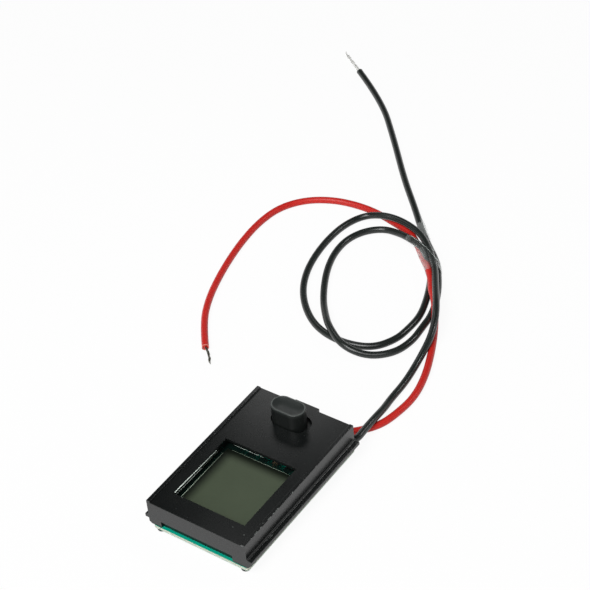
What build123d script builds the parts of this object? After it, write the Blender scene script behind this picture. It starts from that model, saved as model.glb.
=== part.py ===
"""Digital panel meter: moulded housing, display, push button, circuit board and two leads.

Millimetres. The origin is on the table, under the middle of the meter without its leads.
+X is across the meter, +Y runs from the display to the leads, +Z is up out of the display.
"""
import math
import os

from build123d import *

os.makedirs("parts", exist_ok=True)

# Driving dimensions: window and the frame of the housing around it
window_width = 18.3
window_length = 18.85
side_frame = 3.55
front_frame = 4.85
button_bay = 16.9
housing_height = 6.75
wall = 1.0
plate_thickness = 0.7
rail_width = 0.9
rail_height = 0.45
edge_round = 0.15
rail_end_round = 0.35
left_ledge_width = 0.9
right_ledge_width = 1.25
ledge_thickness = 0.9
ledge_rise = 2.35
cove_radius = 0.6
foot_chamfer_width = 0.65
foot_chamfer_height = 0.45
tab_width = 6.2
tab_depth = 0.8
tab_offset = 0.15
tab_thickness = 1.2

# Driving dimensions: button hole, slot along the front foot and notch for the leads
button_hole_width = 9.7
button_hole_depth = 5.6
button_hole_inset = 5.35
slot_left_margin = 3.2
slot_right_margin = 3.75
slot_height = 1.7
slot_depth = 0.6
notch_inset = 1.725
notch_width = 5.8
notch_height = 2.2

# Driving dimensions: board and heat stakes
board_thickness = 0.8
board_left_inset = 0.95
board_right_overhang = 0.15
board_front_overhang = 0.1
board_back_inset = 0.1
board_corner = 0.7
stake_radius = 0.65
stake_clearance = 0.05
stake_head_radius = 1.05
stake_head_height = 0.8
stake_head_round = 0.25
stake_boss_radius = 1.05
stake_inset_side = 1.4
stake_inset_front = 1.1
stake_inset_back = 4.0

# Driving dimensions: display
display_depth = 1.9
polarizer_thickness = 0.2
polarizer_margin = 0.75
polarizer_back_margin = 0.8
glass_thickness = 0.7
glass_side_overlap = 1.25
glass_front_overlap = 1.85
glass_back_overlap = 0.8
reflector_thickness = 0.25
contact_ledge = 2.1
contact_strip_gap = 0.25
contact_strip_inset = 1.4
foam_inset = 0.4
foam_depth = 1.6
glass_side_gap = 0.15
holder_rib_depth = 1.2
holder_pad_depth = 3.3
holder_pad_gap = 0.25

# Driving dimensions: push button and the switch under it
button_width = 8.3
button_depth = 4.95
button_height = 4.4
button_offset_x = 0.35
button_offset_y = 0.1
button_rim = 0.32
button_dish = 0.45
button_round = 0.2
button_travel = 0.3
flange_margin = 1.3
flange_thickness = 0.75
flange_gap = 0.1
switch_side = 6.0
switch_floor = 0.9
switch_cover_thickness = 0.3
switch_wall = 0.5
plunger_clearance = 0.2
plunger_collar_gap = 0.3
plunger_collar_step = 0.45
plunger_collar_thickness = 0.45
plunger_nub_radius = 0.8
plunger_nub_length = 0.6
dome_side_gap = 0.2
dome_flat_height = 0.5
dome_thickness = 0.15
dome_gap = 0.02
terminal_width = 0.7
terminal_thickness = 0.25
terminal_reach = 1.3
terminal_rise = 1.4
terminal_pitch = 4.5

# Driving dimensions: parts on the board
chip_width = 5.3
chip_length = 7.5
chip_height = 1.15
chip_standoff = 0.1
chip_offset_x = 1.5
chip_offset_y = 1.5
leg_count = 10
leg_pitch = 0.7
leg_width = 0.3
leg_thickness = 0.2
leg_reach = 1.2
leg_rise = 0.7
small_part_length = 2.0
small_part_width = 1.25
small_part_end = 0.4
small_part_stagger = 0.15
resistor_height = 0.5
capacitor_height = 0.9
parts_row_gap = 5.15
parts_row_left = 0.55
parts_row_right = 4.95
display_part_inset = 1.2
display_part_spread = 3.5
regulator_width = 2.9
regulator_depth = 1.4
regulator_height = 1.0
regulator_pitch = 0.95
regulator_inset = 5.3
regulator_row_gap = 1.7
regulator_leg_width = 0.4
regulator_leg_reach = 0.6

# Driving dimensions: leads
lead_radius = 0.8
strand_radius = 0.38
black_tip_length = 10.2
red_tip_length = 5.7
stub_length = 2.8
solder_share = 0.65
solder_base_radius = 1.0
solder_top_radius = 0.55
solder_height = 1.45
arc_share = 0.45
tape_thickness = 0.12
tape_clearance = 0.25
tape_length = 9.0

# Heights of the stack, from the table up
board_bottom = stake_head_height
board_top = board_bottom + board_thickness
rail_top = board_top + housing_height
plate_top = rail_top - rail_height
plate_bottom = plate_top - plate_thickness
ledge_top = board_top + ledge_rise
ledge_bottom = ledge_top - ledge_thickness
polarizer_top = plate_top - display_depth
front_glass_top = polarizer_top - polarizer_thickness
rear_glass_top = front_glass_top - glass_thickness
reflector_top = rear_glass_top - glass_thickness
reflector_bottom = reflector_top - reflector_thickness
flange_top = plate_bottom - flange_gap
flange_bottom = flange_top - flange_thickness
button_top = plate_top + button_height
well_bottom = board_top + switch_floor
dome_height = dome_flat_height + button_travel
dome_top = well_bottom + dome_height
nub_bottom = dome_top + dome_gap
collar_bottom = nub_bottom + plunger_nub_length
collar_top = collar_bottom + plunger_collar_thickness
cover_bottom = collar_top + flange_gap
cover_top = cover_bottom + switch_cover_thickness

# Places in the plan, from the middle of the whole meter
housing_width = window_width + 2 * side_frame
housing_length = front_frame + window_length + button_bay
housing_x = (left_ledge_width - right_ledge_width) / 2
housing_y = (board_front_overhang - tab_depth) / 2
left_x = housing_x - housing_width / 2
right_x = housing_x + housing_width / 2
front_y = housing_y - housing_length / 2
back_y = housing_y + housing_length / 2
inner_left = left_x + wall
inner_right = right_x - wall
inner_front = front_y + wall
inner_back = back_y - wall
window_left = left_x + side_frame
window_right = right_x - side_frame
window_front = front_y + front_frame
window_back = window_front + window_length
window_y = (window_front + window_back) / 2
tab_x = housing_x + tab_offset
hole_y = back_y - button_hole_inset
button_x = housing_x - button_offset_x
button_y = hole_y - button_offset_y
board_left = left_x + board_left_inset
board_right = right_x + board_right_overhang
board_front = front_y - board_front_overhang
board_back = back_y - board_back_inset
glass_left = window_left - glass_side_overlap
glass_right = window_right + glass_side_overlap
front_glass_front = window_front - glass_front_overlap
rear_glass_front = front_glass_front + contact_ledge
glass_back = window_back + glass_back_overlap
polarizer_left = window_left + polarizer_margin
polarizer_right = window_right - polarizer_margin
polarizer_front = window_front + polarizer_margin
polarizer_back = window_back - polarizer_back_margin
stake_left = board_left + stake_inset_side
stake_right = board_right - stake_inset_side
stake_front = board_front + stake_inset_front
stake_back = board_back - stake_inset_back
stakes = [
    (stake_left, stake_front),
    (stake_right, stake_front),
    (stake_left, stake_back),
    (stake_right, stake_back),
]


def block(x0, x1, y0, y1, z0, z1):
    """A box between two corners."""
    middle = ((x0 + x1) / 2, (y0 + y1) / 2, (z0 + z1) / 2)
    return Pos(*middle) * Box(x1 - x0, y1 - y0, z1 - z0)


def rod(x, y, z0, z1, radius):
    """An upright cylinder between two heights."""
    return Pos(x, y, (z0 + z1) / 2) * Cylinder(radius, z1 - z0)


def stadium(x, y, z0, z1, width, depth):
    """An upright bar of round-ended section."""
    return Pos(x, y, z0) * extrude(SlotOverall(width, depth), z1 - z0)


def gull_leg(thickness, width, reach, rise):
    """A bent terminal: a short arm, a drop and a foot. It starts at x = 0 and points along +X."""
    arm = reach * 0.35
    outline = Polyline(
        (0, rise),
        (arm + thickness, rise),
        (arm + thickness, thickness),
        (reach, thickness),
        (reach, 0),
        (arm, 0),
        (arm, rise - thickness),
        (0, rise - thickness),
        close=True,
    )
    return extrude(Plane.XZ * make_face(outline), width / 2, both=True)


def save(name, shape):
    """Write one node."""
    export_step(shape, f"parts/{name}.step")
    return shape


# Front housing: one section with rails and ledges, run from front to back
section = Polyline(
    (right_x, board_top),
    (right_x + right_ledge_width, ledge_bottom),
    (right_x + right_ledge_width, ledge_top),
    (right_x, ledge_top),
    (right_x, rail_top),
    (right_x - rail_width, rail_top),
    (right_x - rail_width, plate_top),
    (left_x + rail_width, plate_top),
    (left_x + rail_width, rail_top),
    (left_x, rail_top),
    (left_x, ledge_top),
    (left_x - left_ledge_width, ledge_top),
    (left_x - left_ledge_width, ledge_bottom),
    (left_x, ledge_bottom),
    (left_x, board_top + foot_chamfer_height),
    (left_x + foot_chamfer_width, board_top),
    close=True,
)
housing = extrude(Plane.XZ.offset(-back_y) * make_face(section), housing_length)


def long_edges(shape, places):
    """The edges along the meter that pass closest to the given places in its section."""
    along = shape.edges().filter_by(Axis.Y)
    return [along.sort_by_distance((x, housing_y, z))[0] for x, z in places]


housing = fillet(long_edges(housing, [(right_x, ledge_top), (left_x, ledge_top)]), cove_radius)
rail_ends = [
    housing.edges().filter_by(Axis.X).sort_by_distance((rail_x, back_y, rail_top))[0]
    for rail_x in (left_x + rail_width / 2, right_x - rail_width / 2)
]
housing = fillet(rail_ends, rail_end_round)
crests = [
    (right_x, rail_top),
    (right_x - rail_width, rail_top),
    (left_x, rail_top),
    (left_x + rail_width, rail_top),
    (right_x + right_ledge_width, ledge_top),
    (left_x - left_ledge_width, ledge_top),
]
housing = fillet(long_edges(housing, crests), edge_round)
plate_front = housing.edges().filter_by(Axis.X).sort_by_distance((housing_x, front_y, plate_top))[0]
housing = fillet(plate_front, edge_round)

# Tab on the back edge of the plate
housing += block(
    tab_x - tab_width / 2, tab_x + tab_width / 2,
    back_y, back_y + tab_depth, plate_top - tab_thickness, plate_top,
)

# Hollow inside, window, button hole, slot along the front foot and notch for the leads
hollow = block(inner_left, inner_right, inner_front, inner_back, board_top, plate_bottom)
housing -= hollow
housing -= block(window_left, window_right, window_front, window_back, plate_bottom, plate_top)
housing -= stadium(
    housing_x, hole_y, plate_bottom, plate_top, button_hole_width, button_hole_depth,
)
housing -= block(
    left_x + slot_left_margin, right_x - slot_right_margin,
    front_y, front_y + slot_depth, board_top, board_top + slot_height,
)
notch_right = right_x - notch_inset
housing -= block(
    notch_right - notch_width, notch_right,
    inner_back, back_y, board_top, board_top + notch_height,
)

# Ribs and pads that hold the glass down and keep it in the middle
housing += block(
    inner_left, inner_right,
    front_glass_front, front_glass_front + holder_rib_depth, front_glass_top, plate_bottom,
)
pads = [
    (inner_left, window_left - holder_pad_gap),
    (window_right + holder_pad_gap, inner_right),
]
guides = [
    (inner_left, glass_left - glass_side_gap),
    (glass_right + glass_side_gap, inner_right),
]
for pad_left, pad_right in pads:
    housing += block(
        pad_left, pad_right,
        glass_back - holder_pad_depth, glass_back, front_glass_top, plate_bottom,
    )
for guide_left, guide_right in guides:
    for guide_y in (glass_back - holder_rib_depth, window_front):
        housing += block(
            guide_left, guide_right,
            guide_y, guide_y + holder_rib_depth, reflector_top, plate_bottom,
        )
stop_y = glass_back + glass_side_gap
for stop_x in (window_left, window_right - holder_rib_depth):
    housing += block(
        stop_x, stop_x + holder_rib_depth,
        stop_y, stop_y + holder_rib_depth, reflector_top, plate_bottom,
    )

# Bosses with stakes through the board, each closed under it by a round head
for stake_x, stake_y in stakes:
    housing += rod(stake_x, stake_y, board_top, plate_bottom, stake_boss_radius) & hollow
    housing += rod(stake_x, stake_y, board_bottom, board_top, stake_radius)
    head = rod(stake_x, stake_y, 0, stake_head_height, stake_head_radius)
    housing += fillet(head.edges().group_by(Axis.Z)[0], stake_head_round)
save("front_housing", housing)

# Circuit board with a hole for each stake
board_middle = Pos((board_left + board_right) / 2, (board_front + board_back) / 2, board_bottom)
board_outline = RectangleRounded(board_right - board_left, board_back - board_front, board_corner)
board = board_middle * extrude(board_outline, board_thickness)
for stake_x, stake_y in stakes:
    board -= rod(stake_x, stake_y, board_bottom, board_top, stake_radius + stake_clearance)
save("circuit_board", board)

# Display: two glass plates between polarizers, the front plate longer to reach its contacts
save("lcd_front_polarizer", block(
    polarizer_left, polarizer_right, polarizer_front, polarizer_back,
    front_glass_top, polarizer_top,
))
save("lcd_front_glass", block(
    glass_left, glass_right, front_glass_front, glass_back, rear_glass_top, front_glass_top,
))
save("lcd_rear_glass", block(
    glass_left, glass_right, rear_glass_front, glass_back, reflector_top, rear_glass_top,
))
save("lcd_rear_polarizer", block(
    polarizer_left, polarizer_right, polarizer_front, polarizer_back,
    reflector_bottom, reflector_top,
))

# Rubber contact strip under the long edge of the front glass, foam under the other edge
save("contact_strip", block(
    glass_left + contact_strip_inset, glass_right - contact_strip_inset,
    front_glass_front + contact_strip_gap, rear_glass_front - contact_strip_gap,
    board_top, rear_glass_top,
))
save("foam_strip", block(
    polarizer_left + foam_inset, polarizer_right - foam_inset,
    polarizer_back - foam_depth, polarizer_back, board_top, reflector_bottom,
))

# Push button: an oval cap with a dished top, and a flange that stays under the plate
cap = stadium(button_x, button_y, flange_bottom, button_top, button_width, button_depth)
cap = fillet(cap.faces().sort_by(Axis.Z)[-1].edges(), button_round)
dish_half = button_depth / 2 - button_rim
dish_radius = (dish_half ** 2 + button_dish ** 2) / (2 * button_dish)
dish_span = button_width - button_depth
dish = Cylinder(dish_radius, dish_span, rotation=(0, 90, 0))
dish += Pos(dish_span / 2, 0, 0) * Sphere(dish_radius)
dish += Pos(-dish_span / 2, 0, 0) * Sphere(dish_radius)
cap -= Pos(button_x, button_y, button_top - button_dish + dish_radius) * dish
cap += stadium(
    button_x, button_y, flange_bottom, flange_top,
    button_width + 2 * flange_margin, button_depth + 2 * flange_margin,
)
save("push_button", cap)

# Switch: base with a round well, cover plate, plunger and the snap dome under it
switch_half = switch_side / 2
well_radius = switch_half - switch_wall
collar_radius = well_radius - plunger_collar_gap
plunger_radius = collar_radius - plunger_collar_step
dome_radius = well_radius - dome_side_gap
switch_front = button_y - switch_half
switch_box = (button_x - switch_half, button_x + switch_half, switch_front, button_y + switch_half)
base = block(*switch_box, board_top, cover_bottom)
base -= rod(button_x, button_y, well_bottom, cover_bottom, well_radius)
save("switch_base", base)
cover = block(*switch_box, cover_bottom, cover_top)
cover -= rod(button_x, button_y, cover_bottom, cover_top, plunger_radius + plunger_clearance)
save("switch_cover", cover)
plunger = rod(button_x, button_y, collar_bottom, flange_bottom, plunger_radius)
plunger += rod(button_x, button_y, collar_bottom, collar_top, collar_radius)
plunger += rod(button_x, button_y, nub_bottom, collar_bottom, plunger_nub_radius)
save("switch_plunger", plunger)
dome_sphere = (dome_radius ** 2 + dome_height ** 2) / (2 * dome_height)
dome = Pos(button_x, button_y, dome_top - dome_sphere) * (
    Sphere(dome_sphere) - Sphere(dome_sphere - dome_thickness)
)
dome &= rod(button_x, button_y, well_bottom, nub_bottom, dome_radius)
save("switch_dome", dome)
terminals = []
for sign in (-1, 1):
    for offset in (-terminal_pitch / 2, terminal_pitch / 2):
        leg = gull_leg(terminal_thickness, terminal_width, terminal_reach, terminal_rise)
        turn = Rot(0, 0, 0 if sign > 0 else 180)
        place = Pos(button_x + sign * switch_half, button_y + offset, board_top)
        terminals.append(place * turn * leg)
save("switch_terminals", Compound(children=terminals))

# Meter chip with a row of legs on each side
chip_x = housing_x + chip_offset_x
chip_y = window_y - chip_offset_y
chip_bottom = board_top + chip_standoff
save("meter_chip", block(
    chip_x - chip_width / 2, chip_x + chip_width / 2,
    chip_y - chip_length / 2, chip_y + chip_length / 2, chip_bottom, chip_bottom + chip_height,
))
legs = []
for sign in (-1, 1):
    for step in range(leg_count):
        leg = gull_leg(leg_thickness, leg_width, leg_reach, leg_rise)
        turn = Rot(0, 0, 0 if sign > 0 else 180)
        along = chip_y + (step - (leg_count - 1) / 2) * leg_pitch
        legs.append(Pos(chip_x + sign * chip_width / 2, along, board_top) * turn * leg)
save("chip_legs", Compound(children=legs))

# Small resistors and capacitors: a row in front of the switch, a few under the display
row_y = switch_front - parts_row_gap
row_left = window_left + parts_row_left
row_pitch = (window_right - parts_row_right - row_left) / 4
display_left = window_left + display_part_inset
display_right = window_right - display_part_inset
resistor_places = [
    (row_left, row_y - small_part_stagger),
    (row_left + row_pitch, row_y + small_part_stagger),
    (row_left + 2 * row_pitch, row_y - small_part_stagger),
    (row_left + 4 * row_pitch, row_y),
    (display_left, window_y + display_part_spread),
]
capacitor_places = [
    (row_left + 3 * row_pitch, row_y + small_part_stagger),
    (display_left, window_y - display_part_spread),
    (display_right, window_y),
]


def small_bodies(places, height):
    """The bodies of small parts, each lying along X on the board."""
    half_body = small_part_length / 2 - small_part_end
    half_width = small_part_width / 2
    return [
        block(x - half_body, x + half_body, y - half_width, y + half_width, board_top, board_top + height)
        for x, y in places
    ]


def small_ends(places, height):
    """The plated ends of small parts, one against each end of a body."""
    half_part = small_part_length / 2
    half_body = half_part - small_part_end
    half_width = small_part_width / 2
    ends = []
    for x, y in places:
        for inner, outer in ((-half_part, -half_body), (half_body, half_part)):
            ends.append(block(
                x + inner, x + outer, y - half_width, y + half_width, board_top, board_top + height,
            ))
    return ends


save("chip_resistors", Compound(children=small_bodies(resistor_places, resistor_height)))
save("chip_capacitors", Compound(children=small_bodies(capacitor_places, capacitor_height)))
save("chip_part_ends", Compound(children=(
    small_ends(resistor_places, resistor_height) + small_ends(capacitor_places, capacitor_height)
)))

# Voltage regulator on three legs
regulator_x = right_x - regulator_inset
regulator_y = row_y + regulator_row_gap
regulator_bottom = board_top + chip_standoff
save("regulator", block(
    regulator_x - regulator_width / 2, regulator_x + regulator_width / 2,
    regulator_y - regulator_depth / 2, regulator_y + regulator_depth / 2,
    regulator_bottom, regulator_bottom + regulator_height,
))
regulator_legs = []
for turn, offset in ((90, 0.0), (-90, -regulator_pitch), (-90, regulator_pitch)):
    leg = gull_leg(leg_thickness, regulator_leg_width, regulator_leg_reach, leg_rise)
    edge = regulator_y + math.copysign(regulator_depth / 2, turn)
    regulator_legs.append(Pos(regulator_x + offset, edge, board_top) * Rot(0, 0, turn) * leg)
save("regulator_legs", Compound(children=regulator_legs))

# Routes of the two leads, from inside the housing to the end of the insulation
# They are laid for a housing with its back right corner at route_corner, and move with it
route_corner = (12.525, 19.95)
black_route = [
    (9.0, 17.25, 2.6), (9.7, 20.85, 2.6), (10.9, 24.85, 2.55), (11.7, 30.65, 2.5),
    (11.2, 37.65, 0.8), (10.1, 45.15, 0.8), (8.7, 52.65, 1.0), (7.7, 58.65, 2.6),
    (5.8, 65.15, 4.35), (1.7, 73.65, 4.35), (-3.05, 81.7, 2.9), (-10.9, 89.45, 2.9),
    (-15.4, 92.65, 2.6), (-20.6, 94.25, 2.5), (-26.0, 93.15, 2.5), (-30.6, 90.25, 0.8),
    (-33.2, 85.25, 0.8), (-33.5, 78.65, 0.8), (-32.6, 71.65, 0.8), (-31.2, 65.45, 0.8),
    (-28.6, 59.55, 0.8), (-24.5, 54.65, 0.8), (-19.2, 51.05, 0.8), (-13.5, 48.55, 0.8),
    (-7.6, 47.95, 0.8), (-2.2, 50.35, 0.8), (1.2, 55.25, 0.8), (2.5, 59.65, 0.8),
    (2.1, 65.65, 0.8), (0.2, 71.55, 2.6), (-4.25, 80.5, 2.75), (-12.1, 88.25, 2.75),
    (-17.4, 89.95, 2.7), (-21.2, 89.75, 1.7), (-25.0, 88.55, 0.8), (-28.1, 85.65, 0.8),
    (-29.7, 80.85, 0.8), (-29.6, 75.25, 0.8), (-27.9, 69.25, 0.8), (-25.2, 63.25, 0.8),
    (-21.8, 58.05, 0.8), (-18.2, 54.05, 1.6), (-14.8, 50.45, 2.5), (-8.0, 46.45, 2.5),
    (-2.0, 47.05, 0.8), (3.0, 50.05, 0.8), (5.5, 55.25, 0.8), (5.4, 60.45, 1.2),
    (4.8, 65.85, 2.6), (1.8, 73.65, 2.6), (-2.9, 81.85, 1.2), (-10.75, 89.6, 1.2),
    (-15.9, 94.85, 0.8), (-21.8, 101.05, 0.8), (-30.2, 109.95, 0.8), (-42.2, 123.25, 0.8),
    (-55.0, 136.65, 0.8), (-68.2, 147.75, 0.8),
]
red_route = [
    (5.7, 17.25, 2.6), (6.3, 20.85, 2.6), (8.8, 24.65, 0.9), (12.7, 28.35, 0.8),
    (14.9, 33.65, 0.8), (15.1, 40.25, 0.8), (13.8, 47.65, 0.8), (11.2, 55.05, 0.8),
    (7.8, 61.95, 0.8), (4.0, 67.85, 0.8), (0.1, 73.65, 0.8), (-4.95, 79.8, 1.2),
    (-12.8, 87.5, 1.2), (-17.4, 90.55, 0.8), (-22.2, 92.75, 0.8), (-28.2, 94.65, 0.8),
    (-34.8, 95.25, 0.8), (-41.6, 93.65, 0.8), (-47.8, 89.95, 0.8), (-52.0, 84.05, 0.8),
    (-53.2, 76.65, 0.8), (-52.6, 68.65, 0.8), (-51.0, 60.85, 0.8), (-49.0, 53.05, 0.8),
    (-46.2, 45.05, 0.8), (-42.2, 37.65, 0.8), (-36.5, 30.65, 0.8),
]


def bend_radii(route):
    """The largest arc that each inner point of a route has room for."""
    points = [Vector(*point) for point in route]
    radii = []
    for before, here, after in zip(points, points[1:], points[2:]):
        run_in = here - before
        run_out = after - here
        turn = math.radians(run_in.get_angle(run_out))
        radii.append(arc_share * min(run_in.length, run_out.length) / math.tan(turn / 2))
    return radii


corner_shift = (right_x - route_corner[0], back_y - route_corner[1], 0)


def lead(name, route):
    """A lead's insulation as a round tube along straight runs and tangent arcs."""
    radii = bend_radii(route)
    path = Pos(*corner_shift) * FilletPolyline(*route, radius=radii)
    start = Plane(origin=path @ 0, z_dir=path % 0)
    tube = sweep(start * Circle(lead_radius), path=path)
    ideal = math.pi * lead_radius ** 2 * path.length
    print(name, "length", round(path.length, 1), "volume over ideal", round(tube.volume / ideal, 4))
    print(name, "bend radii", [round(radius, 1) for radius in radii])
    save(name, tube)
    return path


black_path = lead("black_lead", black_route)
red_path = lead("red_lead", red_route)


def straight_strand(point, direction, length):
    """A short length of bare conductor from a point."""
    return Plane(origin=point, z_dir=direction) * Cylinder(
        strand_radius, length, align=(Align.CENTER, Align.CENTER, Align.MIN),
    )


save("black_lead_tip", straight_strand(black_path @ 1, black_path % 1, black_tip_length))
save("red_lead_tip", straight_strand(red_path @ 1, red_path % 1, red_tip_length))

# Soldered ends inside the housing
joints = []
for name, path in (("black_lead_stub", black_path), ("red_lead_stub", red_path)):
    stub = straight_strand(path @ 0, -(path % 0), stub_length)
    save(name, stub)
    seat = (path @ 0) - (path % 0) * (stub_length * solder_share)
    joint = Pos(seat.X, seat.Y, board_top) * Cone(
        solder_base_radius, solder_top_radius, solder_height,
        align=(Align.CENTER, Align.CENTER, Align.MIN),
    )
    joints.append(joint - stub)
save("solder_joints", Compound(children=joints))

# Band of clear film drawn tight around the strands that it bundles
tape_middle = (-8.1, 85.05, 0.0)
tape_across = (0.702, 0.712, 0.0)
tape_along = (0.712, -0.702, 0.0)
tape_plane = Pos(*corner_shift) * Plane(origin=tape_middle, x_dir=tape_across, z_dir=tape_along)
tape_strands = [(-1.55, 1.2), (-0.55, 2.75), (1.15, 2.9), (1.35, 1.2)]


def tape_outline(radius):
    """The tight outline around the bundled strands at a distance from their middles."""
    circles = Sketch() + [Pos(x, z) * Circle(radius) for x, z in tape_strands]
    return make_hull(circles.edges())


inside = lead_radius + tape_clearance
band = tape_outline(inside + tape_thickness) - tape_outline(inside)
save("tape_band", extrude(tape_plane * band, tape_length / 2, both=True))
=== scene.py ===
# %% [markdown]
# # A digital panel meter
# This lesson dresses a small panel meter: a dark moulded housing with a display and a push button,
# a green board under it, and two leads. The solids come from CAD, already in place and in metres.
# Blender adds finishes, the soft leads, the film that bundles them, light and a camera.

# %% Load the frame
import math

import bmesh
import bpy
from mathutils import Matrix, Vector, noise


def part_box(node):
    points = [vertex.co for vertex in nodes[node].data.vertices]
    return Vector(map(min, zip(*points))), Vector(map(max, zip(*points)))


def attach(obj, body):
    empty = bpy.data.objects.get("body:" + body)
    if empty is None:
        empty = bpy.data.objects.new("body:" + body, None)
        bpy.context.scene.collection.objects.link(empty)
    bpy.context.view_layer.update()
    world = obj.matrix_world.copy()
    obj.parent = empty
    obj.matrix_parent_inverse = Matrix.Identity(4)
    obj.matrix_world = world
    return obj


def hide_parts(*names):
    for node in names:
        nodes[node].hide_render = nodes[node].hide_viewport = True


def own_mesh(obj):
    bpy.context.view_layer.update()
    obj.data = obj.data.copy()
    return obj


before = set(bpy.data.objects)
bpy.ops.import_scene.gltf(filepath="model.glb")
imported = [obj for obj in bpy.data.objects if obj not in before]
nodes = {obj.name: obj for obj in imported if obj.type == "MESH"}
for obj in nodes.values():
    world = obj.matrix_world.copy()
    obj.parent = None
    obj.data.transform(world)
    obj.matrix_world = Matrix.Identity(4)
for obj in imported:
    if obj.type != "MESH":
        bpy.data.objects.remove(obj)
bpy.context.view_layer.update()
MM = 0.001

# %% [markdown]
# ## The camera
# The view looks down on the meter from its front right. A camera's place can be guessed by eye,
# or worked out from corners of known position. The second way was used, so the numbers aren't
# round: a turn around the meter, a lift above the table, a slight roll, and a long lens nearly
# 0.4 m away.

# %% Place the camera
TURN, LIFT, ROLL = math.radians(37.725), math.radians(39.714), math.radians(-5.380)
CAMERA_PLACE = Vector((176.164, -207.821, 278.954)) * MM
FOCAL_PIXELS, IMAGE_PIXELS, SENSOR_MM = 1800.0, 590.0, 36.0

towards_camera = Vector((
    math.sin(TURN) * math.cos(LIFT), -math.cos(TURN) * math.cos(LIFT), math.sin(LIFT),
))
level_right = Vector((math.cos(TURN), math.sin(TURN), 0.0))
level_up = towards_camera.cross(level_right)
picture_right = level_right * math.cos(ROLL) + level_up * math.sin(ROLL)
picture_up = level_up * math.cos(ROLL) - level_right * math.sin(ROLL)

scene = bpy.context.scene
camera_data = bpy.data.cameras.new("camera")
camera_data.sensor_width = SENSOR_MM
camera_data.lens = FOCAL_PIXELS / IMAGE_PIXELS * SENSOR_MM
camera_data.clip_start = 0.01
camera_data.clip_end = 20.0
camera = bpy.data.objects.new("camera", camera_data)
camera.matrix_world = Matrix.Translation(CAMERA_PLACE) @ Matrix(
    (picture_right, picture_up, towards_camera)
).transposed().to_4x4()
scene.collection.objects.link(camera)
scene.camera = camera
print("lens:", round(camera_data.lens, 1), "mm")

# %% [markdown]
# ## Tools for finishes
# Every finish is a node material built from the Principled shader. A few small helpers keep the
# cells short: one adds a node with its settings, one starts a material, and one puts a material on
# a solid that came from CAD.

# %% Helpers for node materials


def add_node(tree, kind, **settings):
    """Add a shader node and set its properties and its unlinked inputs by name."""
    node = tree.nodes.new(kind)
    for key, value in settings.items():
        if hasattr(node, key):
            setattr(node, key, value)
        else:
            node.inputs[key.replace("_", " ")].default_value = value
    return node


def start_finish(name, **inputs):
    """A material with one Principled shader. Returns the material, its tree and the shader."""
    material = bpy.data.materials.new(name)
    material.use_nodes = True
    tree = material.node_tree
    shader = tree.nodes["Principled BSDF"]
    for key, value in inputs.items():
        shader.inputs[key.replace("_", " ")].default_value = value
    return material, tree, shader


def dress(node_name, material):
    """Give a CAD node its finish, in place of the plain one that it came with."""
    mesh = nodes[node_name].data
    mesh.materials.clear()
    mesh.materials.append(material)


print("plain finishes that came from CAD:", len(bpy.data.materials))

# %% [markdown]
# ## A shared effect: moulded grain
# Plastic from a mould is never perfectly even. It has a very fine spark-eroded grain, and broad
# faint patches where it cooled or was handled. Housing, button and small parts all show this, so it
# is a node group: it reads Object coordinates and gives a height for bump and two masks.

# %% Build the grain group


def make_grain_group():
    """Grain Height, Patch and Speck from Object coordinates, with a scale for the grain."""
    group = bpy.data.node_groups.new("moulded_grain", "ShaderNodeTree")
    group.interface.new_socket("Grain Scale", in_out="INPUT", socket_type="NodeSocketFloat")
    for name in ("Height", "Patch", "Speck"):
        group.interface.new_socket(name, in_out="OUTPUT", socket_type="NodeSocketFloat")
    enter = group.nodes.new("NodeGroupInput")
    leave = group.nodes.new("NodeGroupOutput")
    place = group.nodes.new("ShaderNodeTexCoord")
    grain = add_node(group, "ShaderNodeTexNoise", Detail=3.0, Roughness=0.6)
    patch = add_node(group, "ShaderNodeTexNoise", Scale=160.0, Detail=4.0, Roughness=0.6)
    speck = add_node(group, "ShaderNodeTexVoronoi", Scale=900.0, Randomness=1.0)
    speck_edge = add_node(group, "ShaderNodeMapRange", clamp=True)
    speck_edge.inputs["From Min"].default_value = 0.06
    speck_edge.inputs["From Max"].default_value = 0.10
    speck_edge.inputs["To Min"].default_value = 1.0
    speck_edge.inputs["To Max"].default_value = 0.0
    for texture in (grain, patch, speck):
        group.links.new(place.outputs["Object"], texture.inputs["Vector"])
    group.links.new(enter.outputs["Grain Scale"], grain.inputs["Scale"])
    group.links.new(speck.outputs["Distance"], speck_edge.inputs["Value"])
    group.links.new(grain.outputs["Fac"], leave.inputs["Height"])
    group.links.new(patch.outputs["Fac"], leave.inputs["Patch"])
    group.links.new(speck_edge.outputs["Result"], leave.inputs["Speck"])
    return group


grain_group = make_grain_group()


def add_grain(tree, shader, scale, bump, depth):
    """Put the grain group in a material and feed its height to the shader's normal."""
    grain = tree.nodes.new("ShaderNodeGroup")
    grain.node_tree = grain_group
    grain.inputs["Grain Scale"].default_value = scale
    relief = add_node(tree, "ShaderNodeBump", Strength=bump, Distance=depth)
    tree.links.new(grain.outputs["Height"], relief.inputs["Height"])
    tree.links.new(relief.outputs["Normal"], shader.inputs["Normal"])
    return grain


def mix_by(tree, mask, low, high, target=None):
    """Blend two colours by a mask. A colour may also be another node's output socket."""
    mix = add_node(tree, "ShaderNodeMix", data_type="RGBA")
    for socket, colour in ((mix.inputs[6], low), (mix.inputs[7], high)):
        if isinstance(colour, tuple):
            socket.default_value = colour
        else:
            tree.links.new(colour, socket)
    tree.links.new(mask, mix.inputs[0])
    if target is not None:
        tree.links.new(mix.outputs[2], target)
    return mix.outputs[2]


def range_by(tree, mask, low, high, target):
    """Stretch a mask between two values into a value socket."""
    stretch = add_node(tree, "ShaderNodeMapRange")
    stretch.inputs["To Min"].default_value = low
    stretch.inputs["To Max"].default_value = high
    tree.links.new(mask, stretch.inputs["Value"])
    tree.links.new(stretch.outputs["Result"], target)


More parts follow.
